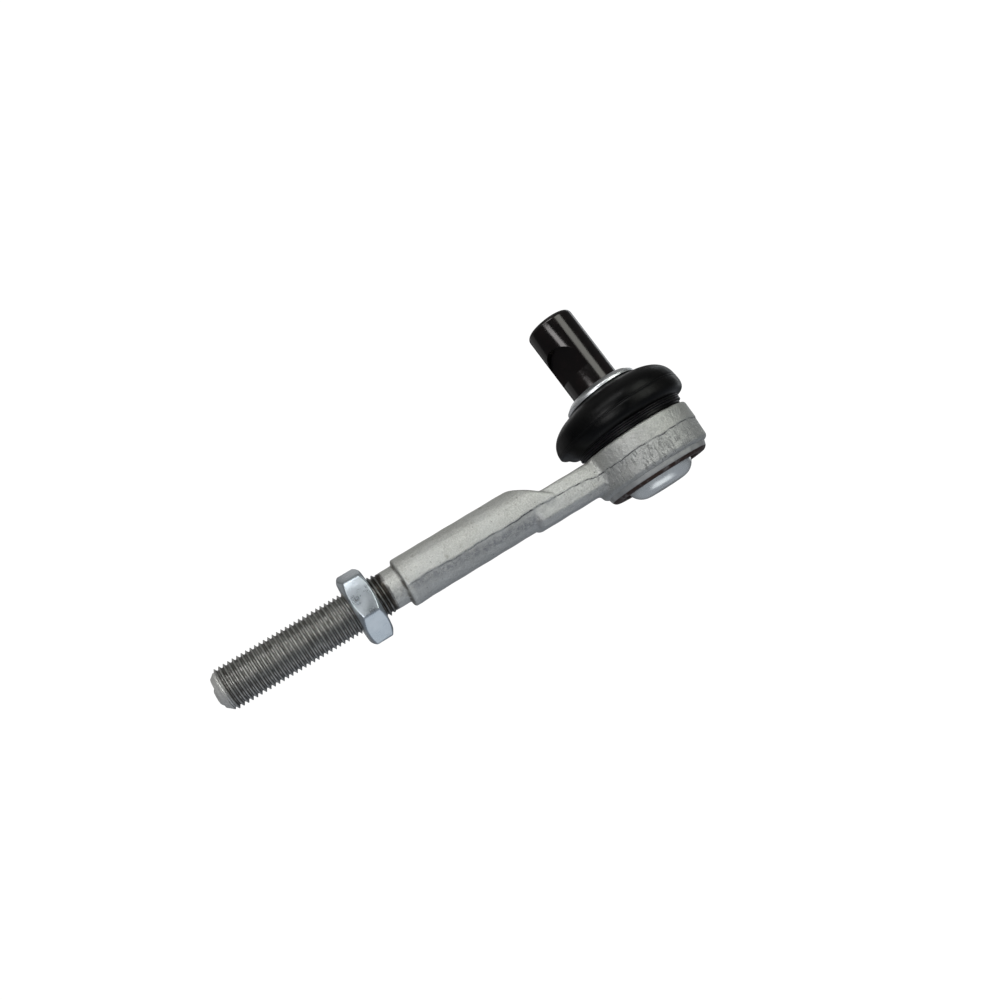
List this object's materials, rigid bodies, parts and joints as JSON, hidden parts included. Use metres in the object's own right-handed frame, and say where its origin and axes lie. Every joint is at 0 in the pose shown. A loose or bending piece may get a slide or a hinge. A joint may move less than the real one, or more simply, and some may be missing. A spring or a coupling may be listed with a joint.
{
  "type": "tie rod end",
  "caption": "Steering tie rod end: forged arm with a male thread and jam nut, and a booted ball joint with a notched pin.",
  "frame": {"origin": "centre of the thread's end face, on the thread's axis", "axes": "+X along the thread toward the ball joint, +Z along the ball housing's axis toward the pin, +Y across the housing"},
  "size_m": [0.1766, 0.0461, 0.0681],
  "materials": {
    "forging": "shot-blasted forging, machined thread",
    "zinc_nut": "bright zinc plate with scuffs",
    "zinc_cover": "satin zinc plate",
    "zinc_washer": "turned zinc plate",
    "seat_plastic": "moulded acetal",
    "spring_steel": "oiled spring steel",
    "boot_rubber": "moulded satin black rubber",
    "ring_wire": "black oxide wire",
    "black_pin": "polished steel, glossy black oxide"
  },
  "bodies": {
    "body": {"forged_body": "forging", "end_cover": "zinc_cover", "bearing_shell": "seat_plastic", "pressure_cup": "seat_plastic", "preload_spring": "spring_steel", "boot_lower_ring": "ring_wire"},
    "nut": {"jam_nut": "zinc_nut"},
    "boot": {"dust_boot": "boot_rubber"},
    "collar": {"boot_upper_ring": "ring_wire"},
    "pin": {"ball_stud": "black_pin", "seat_washer": "zinc_washer"}
  },
  "joints": [
    {"name": "nut_travel", "type": "slide", "parent": "body", "child": "nut", "axis": [1, 0, 0], "range_m": [-0.0436, 0.004]},
    {"name": "swing_direction", "type": "hinge", "parent": "body", "child": "boot", "pos_m": [0.153, 0, -0.0025], "axis": [0, 0, 1], "continuous": true},
    {"name": "swing", "type": "hinge", "parent": "boot", "child": "collar", "pos_m": [0.153, 0, -0.0025], "axis": [-0.8241, -0.5664, 0], "range_deg": [-25, 15], "deforming": ["dust_boot"]},
    {"name": "pin_spin", "type": "hinge", "parent": "collar", "child": "pin", "pos_m": [0.153, 0, -0.0025], "axis": [-0.0494, 0.0718, 0.9962], "continuous": true}
  ]
}
